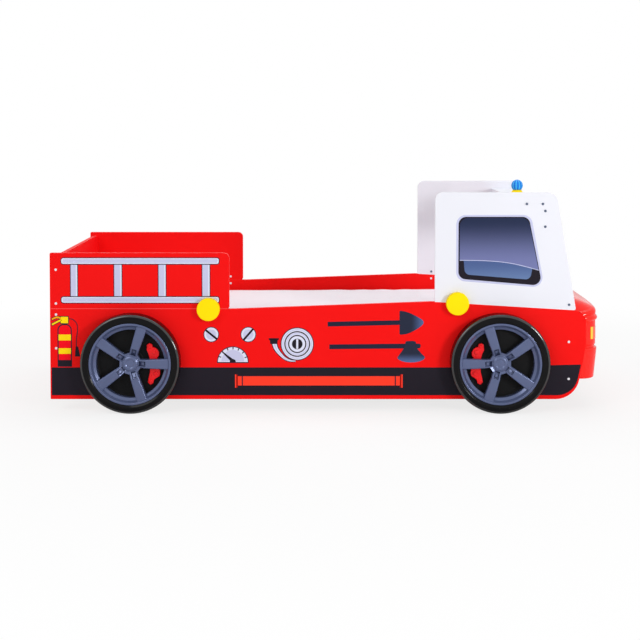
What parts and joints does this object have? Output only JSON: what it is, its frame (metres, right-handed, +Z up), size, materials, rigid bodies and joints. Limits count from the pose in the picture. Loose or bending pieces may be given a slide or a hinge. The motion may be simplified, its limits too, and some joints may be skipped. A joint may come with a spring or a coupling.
{
  "type": "single bed",
  "caption": "Child's single bed shaped like a fire engine, with box, cab, moulded front, wheels, beacon and a loose mattress on slats.",
  "frame": {"origin": "on the floor, under the middle of the whole bed", "axes": "+X to the front of the vehicle, +Y to its left side, +Z up"},
  "size_m": [2.178, 1.076, 0.895],
  "materials": {
    "red_board": "satin red foil on board",
    "white_board": "satin white foil on board",
    "red_moulding": "glossy red moulded plastic",
    "grille_black": "matt black plastic",
    "headlamp_lens": "clear moulded lens over silver",
    "amber_lens": "amber moulded lens",
    "beacon_blue": "glossy blue plastic",
    "yellow_plastic": "satin yellow plastic",
    "cap_plastic": "pale grey snap caps",
    "steel": "zinc plated steel",
    "pine": "planed pine",
    "glide_plastic": "black plastic",
    "tyre_black": "satin black moulded plastic",
    "rim_slate": "slate blue satin paint on plastic",
    "wheel_back_black": "matt black plastic",
    "caliper_red": "glossy red plastic",
    "mattress_cover": "white quilted knit cover"
  },
  "bodies": {
    "bed": {"side_panel_right": "red_board", "side_panel_left": "red_board", "box_panel_right": "red_board", "box_panel_left": "red_board", "cab_panel_right": "white_board", "cab_panel_left": "white_board", "rear_board_lower": "red_board", "rear_board_upper": "red_board", "front_board": "red_board", "header_board": "white_board", "roof_board": "white_board", "bonnet": "red_moulding", "lamp_band": "red_moulding", "bumper": "red_moulding", "grille": "grille_black", "headlamp_right": "headlamp_lens", "headlamp_left": "headlamp_lens", "corner_lamp_right": "amber_lens", "corner_lamp_left": "amber_lens", "beacon_base": "yellow_plastic", "beacon_ball": "beacon_blue", "joining_discs": "yellow_plastic", "disc_screws": "steel", "board_bolts": "steel", "bolt_caps": "cap_plastic", "side_rail_right": "pine", "side_rail_left": "pine", "rail_screws": "steel", "slats": "pine", "slat_screws": "steel", "centre_beam": "pine", "centre_legs": "pine", "wheel_posts": "pine", "floor_glides": "glide_plastic", "wheel_bolts": "steel", "tyre_rear_right": "tyre_black", "tyre_rear_left": "tyre_black", "tyre_front_right": "tyre_black", "tyre_front_left": "tyre_black", "rim_rear_right": "rim_slate", "rim_rear_left": "rim_slate", "rim_front_right": "rim_slate", "rim_front_left": "rim_slate", "wheel_back_rear_right": "wheel_back_black", "wheel_back_rear_left": "wheel_back_black", "wheel_back_front_right": "wheel_back_black", "wheel_back_front_left": "wheel_back_black", "caliper_rear_right": "caliper_red", "caliper_rear_left": "caliper_red", "caliper_front_right": "caliper_red", "caliper_front_left": "caliper_red", "hub_cap_rear_right": "rim_slate", "hub_cap_rear_left": "rim_slate", "hub_cap_front_right": "rim_slate", "hub_cap_front_left": "rim_slate"},
    "mattress": {"mattress": "mattress_cover"}
  },
  "joints": [
    {"name": "mattress_lift", "type": "slide", "parent": "bed", "child": "mattress", "axis": [0, 0, 1], "range_m": [0, 0.28]}
  ]
}
